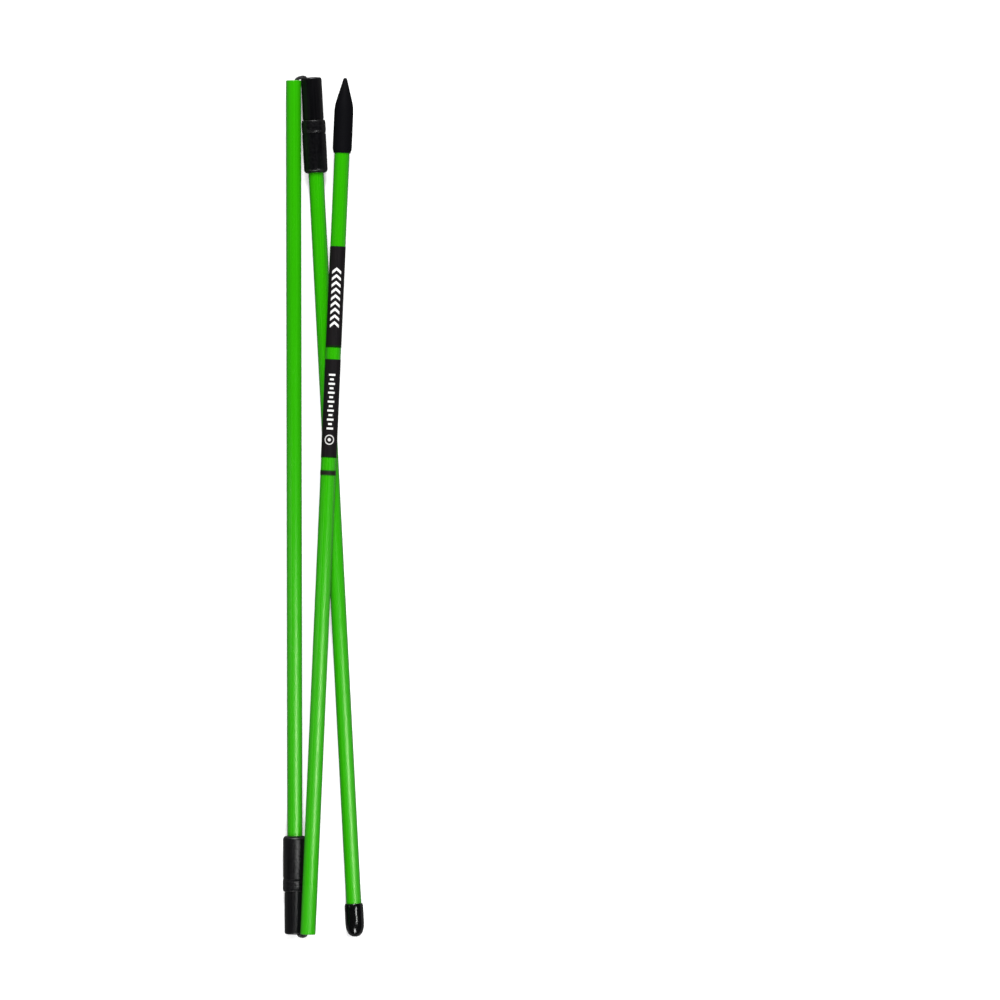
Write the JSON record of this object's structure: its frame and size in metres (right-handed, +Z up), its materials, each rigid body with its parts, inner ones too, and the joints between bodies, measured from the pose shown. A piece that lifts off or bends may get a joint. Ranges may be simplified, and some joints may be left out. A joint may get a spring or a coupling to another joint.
{
  "type": "alignment stick",
  "caption": "Folding golf alignment stick: green tubes joined by black couplers over an inner elastic cord, with a pointed ground tip, a rounded end cap and dark wraps, lying folded",
  "frame": {"origin": "under the middle of the folded bundle, on the surface that it lies on", "axes": "+Y along the bundle towards the pointed tip, +Z up from the surface, +X towards the side where the end section leans out"},
  "size_m": [0.0402, 0.4261, 0.0185],
  "materials": {
    "green_tube": "glossy green fibreglass with faint lengthwise streaks",
    "coupler": "satin black moulded nylon",
    "point": "dull black moulded rubber",
    "cap": "glossy black dip-moulded vinyl",
    "wrap_film": "satin dark film with pale printed bars",
    "washer": "plain steel",
    "cord": "black braided elastic cord"
  },
  "bodies": {
    "middle_section": {"middle_tube": "green_tube", "lower_coupler": "coupler", "cord_middle_run": "cord"},
    "lower_elbow": {"cord_lower_bend": "cord"},
    "tip_section": {"tip_tube": "green_tube", "pointed_tip": "point", "top_wrap": "wrap_film", "low_wrap": "wrap_film", "marker_ring": "wrap_film", "tip_cord_washer": "washer", "cord_tip_end": "cord"},
    "tip_cord": {"cord_tip_run": "cord"},
    "upper_elbow": {"cord_upper_bend": "cord"},
    "end_section": {"end_tube": "green_tube", "upper_coupler": "coupler", "end_cap": "cap", "end_cord_washer": "washer", "cord_cap_end": "cord"},
    "end_cord": {"cord_cap_run": "cord"}
  },
  "joints": [
    {"name": "tip_plug", "type": "slide", "parent": "middle_section", "child": "lower_elbow", "axis": [-0.0015, 1, 0.0072], "range_m": [0, 0.0235], "deforming": ["cord_tip_run", "cord_tip_end"]},
    {"name": "tip_fold", "type": "hinge", "parent": "lower_elbow", "child": "tip_section", "pos_m": [-0.01077, -0.21091, 0.0099], "axis": [0.7786, -0.0143, -0.6274], "range_deg": [0, 178.73], "deforming": ["cord_lower_bend"]},
    {"name": "tip_cord_fold", "type": "hinge", "parent": "middle_section", "child": "tip_cord", "pos_m": [-0.01077, -0.21091, 0.0099], "axis": [0.7786, -0.0143, -0.6274], "range_deg": [0, 178.73]},
    {"name": "end_plug", "type": "slide", "parent": "middle_section", "child": "upper_elbow", "axis": [0.0015, -1, -0.0072], "range_m": [0, 0.0235], "deforming": ["cord_cap_run", "cord_cap_end"]},
    {"name": "end_fold", "type": "hinge", "parent": "upper_elbow", "child": "end_section", "pos_m": [-0.01038, 0.21059, 0.00745], "axis": [0.3087, 0.0033, 0.9512], "range_deg": [0, 177.35], "deforming": ["cord_upper_bend"]},
    {"name": "end_cord_fold", "type": "hinge", "parent": "middle_section", "child": "end_cord", "pos_m": [-0.01038, 0.21059, 0.00745], "axis": [0.3087, 0.0033, 0.9512], "range_deg": [0, 177.35]}
  ],
  "couplings": [
    {"joint": "tip_cord_fold", "follows": "tip_fold", "ratio": 1},
    {"joint": "end_cord_fold", "follows": "end_fold", "ratio": 1}
  ]
}
